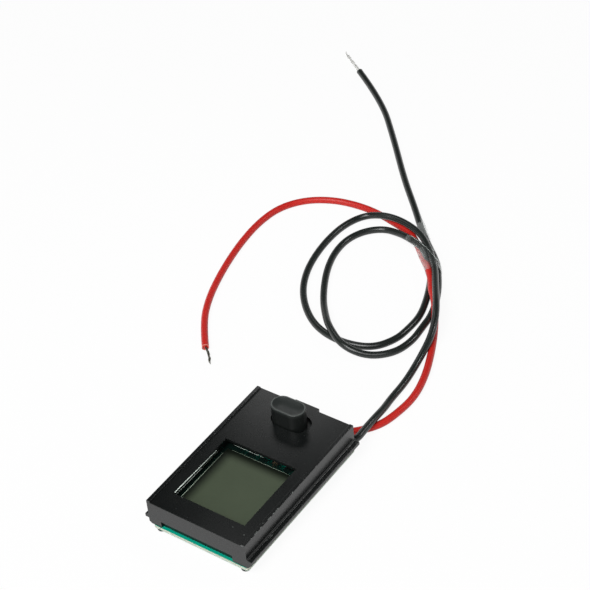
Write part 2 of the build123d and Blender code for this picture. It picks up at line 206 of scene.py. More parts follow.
def object_axis(tree, axis):
    """One axis of the Object coordinates, as an output socket."""
    place = tree.nodes.new("ShaderNodeTexCoord")
    split = tree.nodes.new("ShaderNodeSeparateXYZ")
    tree.links.new(place.outputs["Object"], split.inputs["Vector"])
    return split.outputs[axis]


print("shared groups:", [group.name for group in bpy.data.node_groups])

# %% [markdown]
# ## The housing's plastic
# The housing is dark charcoal with a dull sheen. Along its right top edge it has been knocked, and
# the bruised plastic shows grey. The nicks could be cut into the mesh, but they are only a third of
# a millimetre wide, so each is an ellipsoid in a small node group, with a rim made ragged by noise.

# %% Build the nick group


def make_nick_group():
    """A mask that is 1 inside an ellipsoid with the given middle and half sizes, in metres."""
    group = bpy.data.node_groups.new("edge_nick", "ShaderNodeTree")
    group.interface.new_socket("Middle", in_out="INPUT", socket_type="NodeSocketVector")
    group.interface.new_socket("Half Size", in_out="INPUT", socket_type="NodeSocketVector")
    group.interface.new_socket("Mask", in_out="OUTPUT", socket_type="NodeSocketFloat")
    enter = group.nodes.new("NodeGroupInput")
    leave = group.nodes.new("NodeGroupOutput")
    place = group.nodes.new("ShaderNodeTexCoord")
    rough = add_node(group, "ShaderNodeTexNoise", Scale=3200.0, Detail=2.0)
    away = add_node(group, "ShaderNodeVectorMath", operation="SUBTRACT")
    scaled = add_node(group, "ShaderNodeVectorMath", operation="DIVIDE")
    reach = add_node(group, "ShaderNodeVectorMath", operation="LENGTH")
    ragged = add_node(group, "ShaderNodeMath", operation="ADD")
    inside = add_node(group, "ShaderNodeMapRange", clamp=True)
    inside.inputs["From Min"].default_value = 1.7
    inside.inputs["From Max"].default_value = 1.2
    group.links.new(place.outputs["Object"], rough.inputs["Vector"])
    group.links.new(place.outputs["Object"], away.inputs[0])
    group.links.new(enter.outputs["Middle"], away.inputs[1])
    group.links.new(away.outputs["Vector"], scaled.inputs[0])
    group.links.new(enter.outputs["Half Size"], scaled.inputs[1])
    group.links.new(scaled.outputs["Vector"], reach.inputs[0])
    group.links.new(reach.outputs["Value"], ragged.inputs[0])
    group.links.new(rough.outputs["Fac"], ragged.inputs[1])
    group.links.new(ragged.outputs["Value"], inside.inputs["Value"])
    group.links.new(inside.outputs["Result"], leave.inputs["Mask"])
    return group


nick_group = make_nick_group()


def nick_mask(tree, nicks):
    """The strongest of several nick masks, as one output socket."""
    total = None
    for middle, half_size in nicks:
        nick = tree.nodes.new("ShaderNodeGroup")
        nick.node_tree = nick_group
        nick.inputs["Middle"].default_value = Vector(middle) * MM
        nick.inputs["Half Size"].default_value = Vector(half_size) * MM
        if total is None:
            total = nick.outputs["Mask"]
            continue
        either = add_node(tree, "ShaderNodeMath", operation="MAXIMUM")
        tree.links.new(total, either.inputs[0])
        tree.links.new(nick.outputs["Mask"], either.inputs[1])
        total = either.outputs["Value"]
    return total


print("nodes in the nick group:", len(nick_group.nodes))

# %% Places of the nicks, in millimetres
RAIL_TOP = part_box("front_housing")[1].z / MM
RIGHT_WALL = 12.525
ALONG_EDGE, ACROSS = 0.36, 0.15
edge_nicks = [
    ((RIGHT_WALL - 0.06, y, RAIL_TOP - 0.04), (ACROSS * size, ALONG_EDGE * size, ACROSS * size))
    for y, size in (
        (-3.35, 0.7), (-8.75, 0.9), (-9.35, 0.7), (-10.2, 0.8), (-11.6, 1.0), (-12.1, 0.7),
        (-14.8, 0.8), (-16.3, 0.9), (-16.9, 0.7), (-18.3, 0.5), (5.4, 0.4),
    )
]
corner_nick = ((11.75, -20.6, 7.95), (0.45, 0.2, 0.14))
ledge_scratches = [
    ((13.05, -12.5, 3.97), (0.07, 0.75, 0.2)), ((12.95, -13.9, 4.0), (0.05, 0.4, 0.2)),
]
specks = [
    ((12.1, -13.6, 8.3), (0.1, 0.12, 0.1)), ((-12.6, -9.0, 8.3), (0.12, 0.18, 0.12)),
    ((-12.6, 3.1, 8.32), (0.1, 0.12, 0.1)), ((10.4, -17.9, 7.9), (0.14, 0.1, 0.1)),
    ((-6.9, -16.0, 7.9), (0.1, 0.12, 0.1)), ((7.1, -17.3, 7.9), (0.1, 0.1, 0.1)),
]
all_nicks = edge_nicks + [corner_nick] + ledge_scratches + specks
print("housing nicks and specks:", len(all_nicks))

# %% Charcoal moulding with nicks
charcoal, tree, shader = start_finish("charcoal_moulding", Specular_IOR_Level=0.5)
grain = add_grain(tree, shader, scale=7000.0, bump=0.03, depth=0.03 * MM)
plain_tone = mix_by(
    tree, grain.outputs["Patch"], (0.0030, 0.0038, 0.0038, 1), (0.0066, 0.0080, 0.0077, 1),
)
dusty_tone = mix_by(tree, grain.outputs["Speck"], plain_tone, (0.03, 0.033, 0.032, 1))
mix_by(
    tree, nick_mask(tree, all_nicks), dusty_tone, (0.11, 0.12, 0.115, 1),
    shader.inputs["Base Color"],
)
range_by(tree, grain.outputs["Patch"], 0.22, 0.32, shader.inputs["Roughness"])
dress("front_housing", charcoal)
print("housing dressed")

# %% [markdown]
# ## The push button
# The cap is blacker than the housing. Its dished top is painted lighter than its walls, standing in
# for the light that falls on it, and its rim carries a pale painted highlight. Two masks by height
# place them. The same grain serves, finer and shallower. Small parts inside are matt black.

# %% Satin black for the button, matt black for small parts


def height_mask(tree, low, high):
    """A mask that rises from 0 to 1 between two heights, read from Object coordinates."""
    rise = add_node(tree, "ShaderNodeMapRange", clamp=True)
    rise.inputs["From Min"].default_value = low
    rise.inputs["From Max"].default_value = high
    tree.links.new(object_axis(tree, "Z"), rise.inputs["Value"])
    return rise.outputs["Result"]


rim_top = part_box("push_button")[1].z
DISH_FROM, DISH_TO = rim_top - 0.9 * MM, rim_top - 0.5 * MM
RIM_FROM, RIM_TO = rim_top - 0.035 * MM, rim_top - 0.005 * MM

button_black, tree, shader = start_finish("button_black", Specular_IOR_Level=0.5)
grain = add_grain(tree, shader, scale=9000.0, bump=0.03, depth=0.03 * MM)
wall_tone = mix_by(
    tree, grain.outputs["Patch"], (0.0036, 0.0046, 0.0045, 1), (0.0080, 0.0100, 0.0092, 1),
)
# Painted light: the dished top is lighter than the walls, as if lit from above.
painted_lit_top = mix_by(
    tree, height_mask(tree, DISH_FROM, DISH_TO), wall_tone, (0.015, 0.0185, 0.0172, 1),
)
# Painted highlight: a pale band just under the top of the rim.
mix_by(
    tree, height_mask(tree, RIM_FROM, RIM_TO), painted_lit_top, (0.075, 0.084, 0.080, 1),
    shader.inputs["Base Color"],
)
range_by(tree, grain.outputs["Patch"], 0.36, 0.46, shader.inputs["Roughness"])
dress("push_button", button_black)

matt_black, tree, shader = start_finish("matt_black")
grain = add_grain(tree, shader, scale=5000.0, bump=0.3, depth=0.05 * MM)
mix_by(
    tree, grain.outputs["Patch"], (0.008, 0.008, 0.009, 1), (0.02, 0.02, 0.022, 1),
    shader.inputs["Base Color"],
)
range_by(tree, grain.outputs["Patch"], 0.55, 0.75, shader.inputs["Roughness"])
for name in (
    "meter_chip", "regulator", "chip_resistors", "switch_base", "switch_plunger",
    "contact_strip", "foam_strip",
):
    dress(name, matt_black)
print("button and small black parts dressed")

# %% [markdown]
# ## The display
# A reflective display is a sandwich: polarizer, glass, glass, polarizer with reflector. Switched
# off it is one even grey-green sheet. What one sees is the reflector, deep below the frame, so the
# frame's left and back edges shade it. The film is opaque here, and that soft shade is painted on
# it.

# %% Display film
film_low, film_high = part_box("lcd_front_polarizer")
SHADE_WIDTH = 3.2 * MM


def edge_shade(tree):
    """A mask for the painted shade, which falls to 0 at the film's left and back edges."""
    lit = add_node(tree, "ShaderNodeMath", operation="MULTIPLY")
    for slot, (axis, edge, inwards) in enumerate((("X", film_low.x, 1), ("Y", film_high.y, -1))):
        fade = add_node(tree, "ShaderNodeMapRange", interpolation_type="SMOOTHSTEP")
        fade.inputs["From Min"].default_value = edge
        fade.inputs["From Max"].default_value = edge + inwards * SHADE_WIDTH
        tree.links.new(object_axis(tree, axis), fade.inputs["Value"])
        tree.links.new(fade.outputs["Result"], lit.inputs[slot])
    return lit.outputs["Value"]


film_tone, tree, shader = start_finish("display_film", Specular_IOR_Level=0.3)
grain = add_grain(tree, shader, scale=2500.0, bump=0.05, depth=0.02 * MM)
open_film = mix_by(
    tree, grain.outputs["Patch"], (0.053, 0.069, 0.043, 1), (0.066, 0.084, 0.052, 1),
)
# Painted shade: darker towards the film's left and back edges, where the frame shades the
# reflector.
mix_by(tree, edge_shade(tree), (0.002, 0.004, 0.002, 1), open_film, shader.inputs["Base Color"])
range_by(tree, grain.outputs["Patch"], 0.32, 0.42, shader.inputs["Roughness"])
dress("lcd_front_polarizer", film_tone)
print("film size:", [round(v / MM, 1) for v in film_high - film_low], "mm")

# %% Glass and reflector
reflector, tree, shader = start_finish("reflector", Roughness=0.6)
grain = add_grain(tree, shader, scale=3000.0, bump=0.1, depth=0.03 * MM)
mix_by(
    tree, grain.outputs["Patch"], (0.20, 0.22, 0.19, 1), (0.26, 0.28, 0.24, 1),
    shader.inputs["Base Color"],
)
dress("lcd_rear_polarizer", reflector)

clear_glass, tree, shader = start_finish(
    "clear_glass", Roughness=0.05, IOR=1.5, Alpha=0.35,
)
place = tree.nodes.new("ShaderNodeTexCoord")
tint = add_node(tree, "ShaderNodeTexNoise", Scale=200.0)
tree.links.new(place.outputs["Object"], tint.inputs["Vector"])
mix_by(
    tree, tint.outputs["Fac"], (0.004, 0.012, 0.010, 1), (0.008, 0.020, 0.016, 1),
    shader.inputs["Base Color"],
)
for name in ("lcd_front_glass", "lcd_rear_glass"):
    dress(name, clear_glass)
print("display dressed")

# %% [markdown]
# ## The circuit board
# The board is glass fibre with a green lacquer. Its faces are green and its cut edge is a pale
# cream. A height along Z tells the edge from the faces, because the faces are flat and level.

# %% Green lacquer with a pale edge
board_low, board_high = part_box("circuit_board")
EDGE_LINE = 0.06 * MM

board_green, tree, shader = start_finish("board_green", Specular_IOR_Level=0.5)
grain = add_grain(tree, shader, scale=4000.0, bump=0.1, depth=0.03 * MM)
from_middle = add_node(tree, "ShaderNodeMath", operation="SUBTRACT")
from_middle.inputs[1].default_value = (board_low.z + board_high.z) / 2
tree.links.new(object_axis(tree, "Z"), from_middle.inputs[0])
away = add_node(tree, "ShaderNodeMath", operation="ABSOLUTE")
tree.links.new(from_middle.outputs["Value"], away.inputs[0])
on_edge = add_node(tree, "ShaderNodeMath", operation="LESS_THAN")
on_edge.inputs[1].default_value = (board_high.z - board_low.z) / 2 - EDGE_LINE
tree.links.new(away.outputs["Value"], on_edge.inputs[0])
lacquer = mix_by(tree, grain.outputs["Patch"], (0.0, 0.30, 0.20, 1), (0.0, 0.38, 0.26, 1))
mix_by(tree, on_edge.outputs["Value"], lacquer, (0.50, 0.53, 0.44, 1), shader.inputs["Base Color"])
range_by(tree, on_edge.outputs["Value"], 0.3, 0.7, shader.inputs["Roughness"])
dress("circuit_board", board_green)
print("board edge height:", round((board_high.z - board_low.z) / MM, 2), "mm")

# %% [markdown]
# ## Bright metal and ceramic
# Legs, plated ends, solder and the switch's metal are tinned. Metal needs little colour of its own:
# the roughness changes across it, so that highlights break up as they do on dipped solder.

# %% Tinned metal and ceramic


def make_metal(name, dark, light, metallic=1.0):
    """Tinned metal with a roughness that wanders between bright and dull."""
    material, tree, shader = start_finish(name, Metallic=metallic)
    grain = add_grain(tree, shader, scale=2500.0, bump=0.2, depth=0.04 * MM)
    mix_by(tree, grain.outputs["Patch"], dark, light, shader.inputs["Base Color"])
    range_by(tree, grain.outputs["Patch"], 0.2, 0.45, shader.inputs["Roughness"])
    return material


tinned = make_metal("tinned_metal", (0.56, 0.56, 0.54, 1), (0.78, 0.78, 0.76, 1))
for name in (
    "chip_legs", "regulator_legs", "switch_cover", "switch_terminals", "solder_joints",
    "chip_part_ends", "black_lead_stub", "red_lead_stub",
):
    dress(name, tinned)

ceramic, tree, shader = start_finish("capacitor_ceramic")
grain = add_grain(tree, shader, scale=3000.0, bump=0.2, depth=0.04 * MM)
mix_by(
    tree, grain.outputs["Patch"], (0.28, 0.20, 0.12, 1), (0.38, 0.28, 0.18, 1),
    shader.inputs["Base Color"],
)
range_by(tree, grain.outputs["Patch"], 0.45, 0.6, shader.inputs["Roughness"])
dress("chip_capacitors", ceramic)
print("metal and ceramic dressed")

# %% [markdown]
# ## Bright lines in the display
# The ground edges of the glass, the film's edges and the white seal between the plates catch the
# light as hair-thin lines. They are built as real threads: a tiny circle is stretched along each
# line. Their pale colour is a painted highlight, added to the seal's own white; the glint of the
# glass's left edge is drawn on the window's left wall. The far half of the seal is broken up, so
# there the thread is cut into short dashes.

# %% Threads along the glass edges


def finish_piece(name, bm, material, smooth=True):
    """Turn a bmesh into an object at the origin with one finish."""
    bmesh.ops.recalc_face_normals(bm, faces=bm.faces)
    mesh = bpy.data.meshes.new(name)
    bm.to_mesh(mesh)
    bm.free()
    for face in mesh.polygons:
        face.use_smooth = smooth
    mesh.materials.append(material)
    piece = bpy.data.objects.new(name, mesh)
    scene.collection.objects.link(piece)
    return piece


def along(start, direction):
    """A placement whose Z axis runs along a direction from a point."""
    return Matrix.Translation(start) @ direction.to_track_quat("Z", "Y").to_matrix().to_4x4()


def of_kind(geometry, kind):
    """The items of one kind in what an operator gives back."""
    return [item for item in geometry if isinstance(item, kind)]


def add_thread(bm, start, end, radius):
    """A closed thread from a circle that is extruded from a start to an end, in millimetres."""
    first, last = Vector(start) * MM, Vector(end) * MM
    disc = bmesh.ops.create_circle(
        bm, cap_ends=True, segments=8, radius=radius * MM, matrix=along(first, last - first),
    )["verts"]
    grown = bmesh.ops.extrude_face_region(bm, geom=disc[0].link_faces[:])["geom"]
    bmesh.ops.translate(bm, verts=of_kind(grown, bmesh.types.BMVert), vec=last - first)


def make_glint_finish(name, dark, light):
    """A pale, even finish for a thread: a painted highlight where an edge catches the light."""
    material, tree, shader = start_finish(name, Roughness=0.3)
    grain = add_grain(tree, shader, scale=400.0, bump=0.02, depth=0.02 * MM)
    mix_by(tree, grain.outputs["Patch"], dark, light, shader.inputs["Base Color"])
    return material


bright_glint_and_seal = make_glint_finish("glass_edge_glint_and_seal_white", (0.62, 0.72, 0.64, 1), (0.86, 0.95, 0.88, 1))
dim_glint_and_seal = make_glint_finish("film_edge_glint_and_seal_grey", (0.16, 0.20, 0.15, 1), (0.26, 0.32, 0.25, 1))

WINDOW_WALL, GLASS_TOP, GLASS_BACK = -9.31, 5.8, 3.85
SEAL_LINE, SEAL_TOP = -9.95, 5.87
FILM_LEFT, FILM_BACK, FILM_TOP = film_low.x / MM, film_high.y / MM, film_high.z / MM
BOLD, PLAIN, FINE, HAIR = 0.10, 0.08, 0.045, 0.035
DASHES, FIRST_DASH, DASH_PITCH, DASH_LENGTH = 18, -5.0, 0.38, 0.22

bm = bmesh.new()
# Painted highlights: a white thread on the window's left wall for the glint of the glass's left
# edge, the pale seal, and the glass's back edge.
add_thread(bm, (WINDOW_WALL, -15.5, 7.8), (WINDOW_WALL, -0.6, 7.38), BOLD)
add_thread(bm, (SEAL_LINE - 0.08, -14.4, SEAL_TOP), (SEAL_LINE, -5.4, SEAL_TOP), BOLD)
add_thread(bm, (-8.0, GLASS_BACK, GLASS_TOP), (-0.4, GLASS_BACK + 0.1, GLASS_TOP), FINE)
glass_edges = finish_piece("display_glass_edges", bm, bright_glint_and_seal)

bm = bmesh.new()
# Dimmer painted highlights: the seal's dashes and the film's left and back edges.
for step in range(DASHES):
    y = FIRST_DASH + DASH_PITCH * step
    add_thread(bm, (SEAL_LINE, y, SEAL_TOP), (SEAL_LINE, y + DASH_LENGTH, SEAL_TOP), PLAIN)
add_thread(bm, (FILM_LEFT, -14.5, FILM_TOP), (FILM_LEFT, 0.6, FILM_TOP), PLAIN)
add_thread(bm, (-7.4, FILM_BACK, FILM_TOP), (7.9, FILM_BACK, FILM_TOP), HAIR)
film_edges = finish_piece("display_film_edges", bm, dim_glint_and_seal)
for piece in (glass_edges, film_edges):
    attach(piece, "case")
print("edge threads:", len(glass_edges.data.polygons) + len(film_edges.data.polygons), "faces")

# %% [markdown]
# ## The snap dome
# Under the button's plunger lies a thin sprung metal dome. A press flattens it, and it snaps back
# up. It could be stamped and drawn. Here it is the cap of a ball, cut off by a plane and given its
# thickness.

# %% A dome cut from a ball


def cut_below(bm, point):
    """Take away what lies under a level plane through a point."""
    bmesh.ops.bisect_plane(
        bm, geom=bm.verts[:] + bm.edges[:] + bm.faces[:], dist=MM / 1000, plane_co=point,
        plane_no=(0, 0, 1), clear_inner=True,
    )


PRESS, DOME_SHEET = 0.3 * MM, 0.15 * MM
dome_low, dome_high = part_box("switch_dome")
dome_rise = dome_high.z - dome_low.z
dome_reach = (dome_high.x - dome_low.x) / 2
ball_radius = (dome_reach ** 2 + dome_rise ** 2) / (2 * dome_rise)
dome_foot = (dome_low + dome_high) / 2
dome_foot.z = dome_low.z
ball_middle = dome_foot + Vector((0, 0, dome_rise - ball_radius))
bm = bmesh.new()
bmesh.ops.create_uvsphere(
    bm, u_segments=32, v_segments=72, radius=ball_radius, matrix=Matrix.Translation(ball_middle),
)
cut_below(bm, dome_foot)
bmesh.ops.solidify(bm, geom=bm.faces[:], thickness=DOME_SHEET)
cut_below(bm, dome_foot)
bmesh.ops.bridge_loops(bm, edges=[edge for edge in bm.edges if edge.is_boundary])
print("open edges of the dome:", sum(edge.is_boundary for edge in bm.edges))
snap_dome = finish_piece("switch_snap_dome", bm, tinned)
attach(snap_dome, "case")
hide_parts("switch_dome")
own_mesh(snap_dome)
heights = [vert.co.z / MM for vert in snap_dome.data.vertices]
print("snap dome:", round(min(heights), 3), "to", round(max(heights), 3), "mm; solid:",
      round(dome_low.z / MM, 3), "to", round(dome_high.z / MM, 3), "mm")

# %% [markdown]
# ## The leads
# Each lead is stranded wire in a round coat of soft plastic. A lead is one open curve: the points
# below are its control points, and a smooth spline passes near them. The curve's bevel gives the
# coat its thickness, so the whole lead stays one simple object.

# %% Routes of the leads, in millimetres
BLACK_ROUTE = [
    (9.0, 17.2, 2.6), (9.5, 20.45, 2.6), (12.15, 20.95, 2.6), (11.95, 24.8, 2.58),
    (11.92, 29.5, 2.5), (11.5, 33.5, 1.6), (10.75, 37.6, 0.86), (10.7, 43.89, 0.86),
    (9.51, 52.06, 1.0), (8.91, 58.77, 3.1), (6.26, 65.23, 4.7), (0.77, 73.83, 3.7),
    (-3.97, 81.44, 2.8), (-11.35, 89.09, 2.5), (-15.71, 91.49, 2.45), (-21.05, 92.8, 2.5),
    (-25.82, 92.43, 2.5), (-31.09, 91.57, 0.86), (-33.37, 85.88, 0.86), (-33.71, 78.97, 0.86),
    (-32.88, 71.9, 0.86), (-31.17, 65.53, 0.86), (-28.3, 59.7, 0.86), (-24.23, 54.68, 0.86),
    (-19.09, 50.56, 0.86), (-13.51, 48.51, 0.86), (-7.4, 48.33, 0.86), (-1.83, 50.29, 0.86),
    (1.12, 55.32, 0.86), (1.64, 59.77, 0.86), (1.75, 64.88, 0.86), (-0.05, 70.98, 0.86),
    (-2.43, 76.68, 0.86), (-4.75, 80.81, 0.86), (-9.41, 85.59, 2.9), (-14.99, 87.45, 2.6),
    (-18.62, 88.88, 1.7), (-23.53, 89.51, 0.86), (-27.35, 86.49, 0.86), (-29.5, 81.59, 0.86),
    (-29.37, 75.74, 0.86), (-27.54, 69.53, 0.86), (-24.58, 63.53, 0.86), (-21.28, 58.23, 0.86),
    (-17.8, 53.92, 1.6), (-14.18, 49.96, 2.5), (-7.82, 45.69, 2.5), (-1.74, 46.83, 0.86),
    (3.22, 50.92, 0.86), (4.7, 56.57, 0.86), (4.27, 61.5, 0.86), (3.85, 67.15, 0.86),
    (1.07, 74.62, 0.86), (-3.05, 81.4, 0.86), (-5.73, 84.95, 0.86), (-10.05, 88.75, 0.86),
    (-15.4, 93.9, 0.86), (-21.45, 100.67, 0.86), (-30.19, 109.79, 0.86), (-41.98, 123.67, 0.86),
    (-54.64, 137.77, 0.86), (-68.17, 147.5, 0.86),
]
RED_ROUTE = [
    (5.7, 17.25, 2.6), (6.6, 20.9, 2.6), (9.47, 24.02, 1.2), (13.12, 28.98, 0.86),
    (14.37, 33.77, 0.86), (15.09, 40.38, 0.86), (13.58, 47.78, 0.86), (10.8, 55.05, 0.86),
    (7.63, 61.87, 0.9), (4.25, 67.81, 2.1), (2.12, 70.8, 2.45), (-0.24, 73.44, 2.4),
    (-1.84, 76.15, 2.4), (-4.71, 79.68, 2.5), (-8.47, 83.62, 0.86), (-12.62, 87.74, 0.86),
    (-16.44, 91.1, 0.86), (-22.0, 92.58, 0.86), (-28.23, 94.22, 0.86), (-34.61, 94.58, 0.86),
    (-41.47, 93.43, 0.86), (-47.77, 89.96, 0.86), (-51.93, 84.07, 0.86), (-52.98, 76.61, 0.86),
    (-52.36, 68.63, 0.86), (-50.91, 60.94, 0.86), (-48.88, 53.12, 0.86), (-46.11, 45.17, 0.86),
    (-42.15, 37.74, 0.86), (-36.35, 30.77, 0.86),
]
LEAD_RADIUS = 0.86 * MM


def make_lead(name, route, material):
    """A lead as one smooth spline with a round bevel, and the points that its middle line takes."""
    curve = bpy.data.curves.new(name, "CURVE")
    curve.dimensions = "3D"
    spline = curve.splines.new("NURBS")
    spline.points.add(len(route) - 1)
    for point, place in zip(spline.points, route):
        point.co = (*[value * MM for value in place], 1.0)
    spline.order_u = 3
    spline.use_endpoint_u = True
    spline.resolution_u = 8
    lead = bpy.data.objects.new(name, curve)
    scene.collection.objects.link(lead)
    line = bpy.data.meshes.new_from_object(lead)
    middle_line = [vertex.co.copy() for vertex in line.vertices]
    bpy.data.meshes.remove(line)
    curve.bevel_depth = LEAD_RADIUS
    curve.bevel_resolution = 6
    curve.use_fill_caps = True
    curve.materials.append(material)
    return lead, middle_line


def make_insulation(name, dark, light, gloss, smooth=0.3, dull=0.42):
    """Soft plastic coat: even colour, a gloss that wanders, faint scuffs."""
    material, tree, shader = start_finish(name, Specular_IOR_Level=gloss)
    grain = add_grain(tree, shader, scale=1800.0, bump=0.04, depth=0.05 * MM)
    mix_by(tree, grain.outputs["Patch"], dark, light, shader.inputs["Base Color"])
    range_by(tree, grain.outputs["Patch"], smooth, dull, shader.inputs["Roughness"])
    return material


black_coat = make_insulation(
    "black_insulation", (0.009, 0.012, 0.011, 1), (0.017, 0.021, 0.019, 1), gloss=0.5,
    smooth=0.20, dull=0.32,
)
red_coat = make_insulation(
    "red_insulation", (0.48, 0.014, 0.010, 1), (0.56, 0.023, 0.017, 1), gloss=0.3,
)
black_lead, black_line = make_lead("black_lead_coat", BLACK_ROUTE, black_coat)
red_lead, red_line = make_lead("red_lead_coat", RED_ROUTE, red_coat)
print("leads made, points on their middle lines:", len(black_line), len(red_line))

# %% [markdown]
# ## Bare ends of the leads
# At each free end the coat is stripped, and a twist of tinned strands shows. A plain rod would look
# like a nail. Instead a small circle is extruded in short steps, and each step turns it around the
# twist's axis, so seven strands wind around each other. A sideways drift bends the twist.

# %% Twist the strands
TWIST_STEPS, RING_STRANDS = 24, 6
UNEVEN_CUT = 0.05


def make_twist(name, start, end, bend, radius, turns, material):
    """Strands around a line, each a disc that is extruded, turned and moved in steps."""
    bm = bmesh.new()
    way = end - start
    length = way.length
    ring = radius * 2.0
    angles = [math.tau * k / RING_STRANDS for k in range(RING_STRANDS)]
    offsets = [(0.0, 0.0)] + [(ring * math.cos(a), ring * math.sin(a)) for a in angles]
    turn = Matrix.Rotation(math.tau * turns / TWIST_STEPS, 3, "Z")
    for index, (x, y) in enumerate(offsets):
        reach = length * (1.0 - UNEVEN_CUT * (index * 3 % 5))
        disc = bmesh.ops.create_circle(bm, cap_ends=True, segments=8, radius=radius)["verts"]
        bmesh.ops.translate(bm, verts=disc, vec=(x, y, 0))
        faces = disc[0].link_faces[:]
        drift = 0.0
        for step in range(1, TWIST_STEPS + 1):
            grown = bmesh.ops.extrude_face_region(bm, geom=faces)["geom"]
            verts = of_kind(grown, bmesh.types.BMVert)
            bmesh.ops.delete(bm, geom=faces, context="FACES_ONLY")
            bmesh.ops.rotate(bm, verts=verts, cent=(drift, 0, 0), matrix=turn)
            sag = bend * math.sin(math.pi * step / TWIST_STEPS)
            bmesh.ops.translate(bm, verts=verts, vec=(sag - drift, 0, reach / TWIST_STEPS))
            drift = sag
            faces = of_kind(grown, bmesh.types.BMFace)
    bmesh.ops.transform(bm, matrix=along(start, way), verts=bm.verts)
    return finish_piece(name, bm, material)


TIP_INSET = 0.3 * MM
BLACK_TIP_END = Vector((-77.0, 153.9, 0.8)) * MM
RED_TIP_END = Vector((-32.2, 27.0, 0.6)) * MM


def route_end(route):
    """The last point of a route and the way it points there."""
    last = Vector(route[-1]) * MM
    return last, (last - Vector(route[-2]) * MM).normalized()


black_end, black_way = route_end(BLACK_ROUTE)
red_end, red_way = route_end(RED_ROUTE)
bright_tin = make_metal(
    "bright_tin", (0.78, 0.78, 0.75, 1), (0.95, 0.95, 0.93, 1), metallic=0.25,
)
dull_tin = make_metal("dull_tin", (0.20, 0.20, 0.17, 1), (0.34, 0.34, 0.29, 1))
black_strands = make_twist(
    "black_lead_strands", black_end - black_way * TIP_INSET, BLACK_TIP_END, bend=0.0,
    radius=0.15 * MM, turns=1.6, material=bright_tin,
)
red_strands = make_twist(
    "red_lead_strands", red_end - red_way * TIP_INSET, RED_TIP_END, bend=0.25 * MM,
    radius=0.105 * MM, turns=1.1, material=dull_tin,
)
print("strands per end:", RING_STRANDS + 1, "faces:", len(black_strands.data.polygons))

# %% [markdown]
# ## Cut ends of the coats
# Where the coat was cut it isn't a flat disc: the blade leaves a dented face and a rolled rim, and
# on the red lead two pale lips were torn forward. A disc is extruded into a short collar, inset and
# pushed in for the dent, bevelled at the rim, and then some rim points are pulled along the lead.

# %% Collars with a dented face
COLLAR_SEAT, COLLAR_LENGTH, COLLAR_FIT = 0.25 * MM, 0.34 * MM, 1.01
COAT_WALL, DENT_DEPTH, RIM_ROUND = 0.3 * MM, 0.16 * MM, 0.09 * MM
LIP_NOISE, LIP_SCALE = 0.3, 2.0


def make_cut_end(name, end, way, tear, material):
    """A short collar on the end of a coat, with a dented face and a rim torn forward by tear."""
    bm = bmesh.new()
    disc = bmesh.ops.create_circle(
        bm, cap_ends=True, segments=24, radius=LEAD_RADIUS * COLLAR_FIT,
    )["verts"]
    bmesh.ops.translate(bm, verts=disc, vec=(0, 0, -COLLAR_SEAT))
    back = disc[0].link_faces[:]
    grown = bmesh.ops.extrude_face_region(bm, geom=back)["geom"]
    bmesh.ops.translate(bm, verts=of_kind(grown, bmesh.types.BMVert), vec=(0, 0, COLLAR_LENGTH))
    front = of_kind(grown, bmesh.types.BMFace)
    rim = front[0].edges[:]
    bmesh.ops.inset_region(bm, faces=front, thickness=COAT_WALL, depth=0.0)
    bmesh.ops.translate(bm, verts=front[0].verts[:], vec=(0, 0, -DENT_DEPTH))
    bmesh.ops.bevel(
        bm, geom=rim, offset=RIM_ROUND, segments=2, profile=0.5, affect="EDGES", material=-1,
    )
    for vert in bm.verts:
        if vert.co.z > 0.0:
            around = math.atan2(vert.co.y, vert.co.x)
            lip = max(0.0, math.cos(2.0 * around)) ** 2
            lip += LIP_NOISE * noise.noise(vert.co / MM * LIP_SCALE)
            vert.co.z += tear * lip * vert.co.xy.length / LEAD_RADIUS
    bmesh.ops.transform(bm, matrix=along(end, way), verts=bm.verts)
    return finish_piece(name, bm, material)


torn_red = make_insulation(
    "torn_red", (0.62, 0.10, 0.08, 1), (0.74, 0.26, 0.20, 1), gloss=0.3,
)
cut_black = make_insulation(
    "cut_black", (0.012, 0.020, 0.014, 1), (0.03, 0.044, 0.034, 1), gloss=0.3,
)
black_cut = make_cut_end("black_lead_cut", black_end, black_way, 0.06 * MM, cut_black)
red_cut = make_cut_end("red_lead_cut", red_end, red_way, 0.34 * MM, torn_red)
print("collars:", black_cut.name, red_cut.name)

# %% [markdown]
# ## The band of clear film
# A few turns of clear film bundle the strands. The film is pulled tight, so around the bundle it
# lies on the outermost strands and spans straight between them, like a rubber band around pencils.
# For each station along the bundle the strands' middles are read from the leads' own lines, and a
# circle is stretched to that taut outline. A flap follows the inner turn, and a loose corner of the
# film stands up along the straight end.

# %% Where the strands cross a plane
BUNDLE = Vector((-8.1, 85.05, 0.0)) * MM
TO_METER = Vector((0.712, -0.702, 0.0)).normalized()
ACROSS_BUNDLE = Vector((-TO_METER.y, TO_METER.x, 0.0))
UP = Vector((0.0, 0.0, 1.0))
WHOLE_BUNDLE, INNER_TURN, OUTER_SIDE = (-4 * MM, 4 * MM), (-5 * MM, -0.2 * MM), (0.0, 5 * MM)


def crossings(line, station):
    """Across and up places where a lead's middle line crosses the plane at a station."""
    found = []
    for near, far in zip(line, line[1:]):
        a = (near - BUNDLE).dot(TO_METER) - station
        b = (far - BUNDLE).dot(TO_METER) - station
        if a * b <= 0.0 and a != b:
            place = near.lerp(far, a / (a - b))
            found.append(Vector(((place - BUNDLE).dot(ACROSS_BUNDLE), place.z)))
    return found


def strands_at(station, lowest, highest):
    """Strands of both leads at a station whose across place is between two limits."""
    both = crossings(black_line, station) + crossings(red_line, station)
    return [spot for spot in both if lowest <= spot.x <= highest]


print("strands under the film:", len(strands_at(0.0, *WHOLE_BUNDLE)))

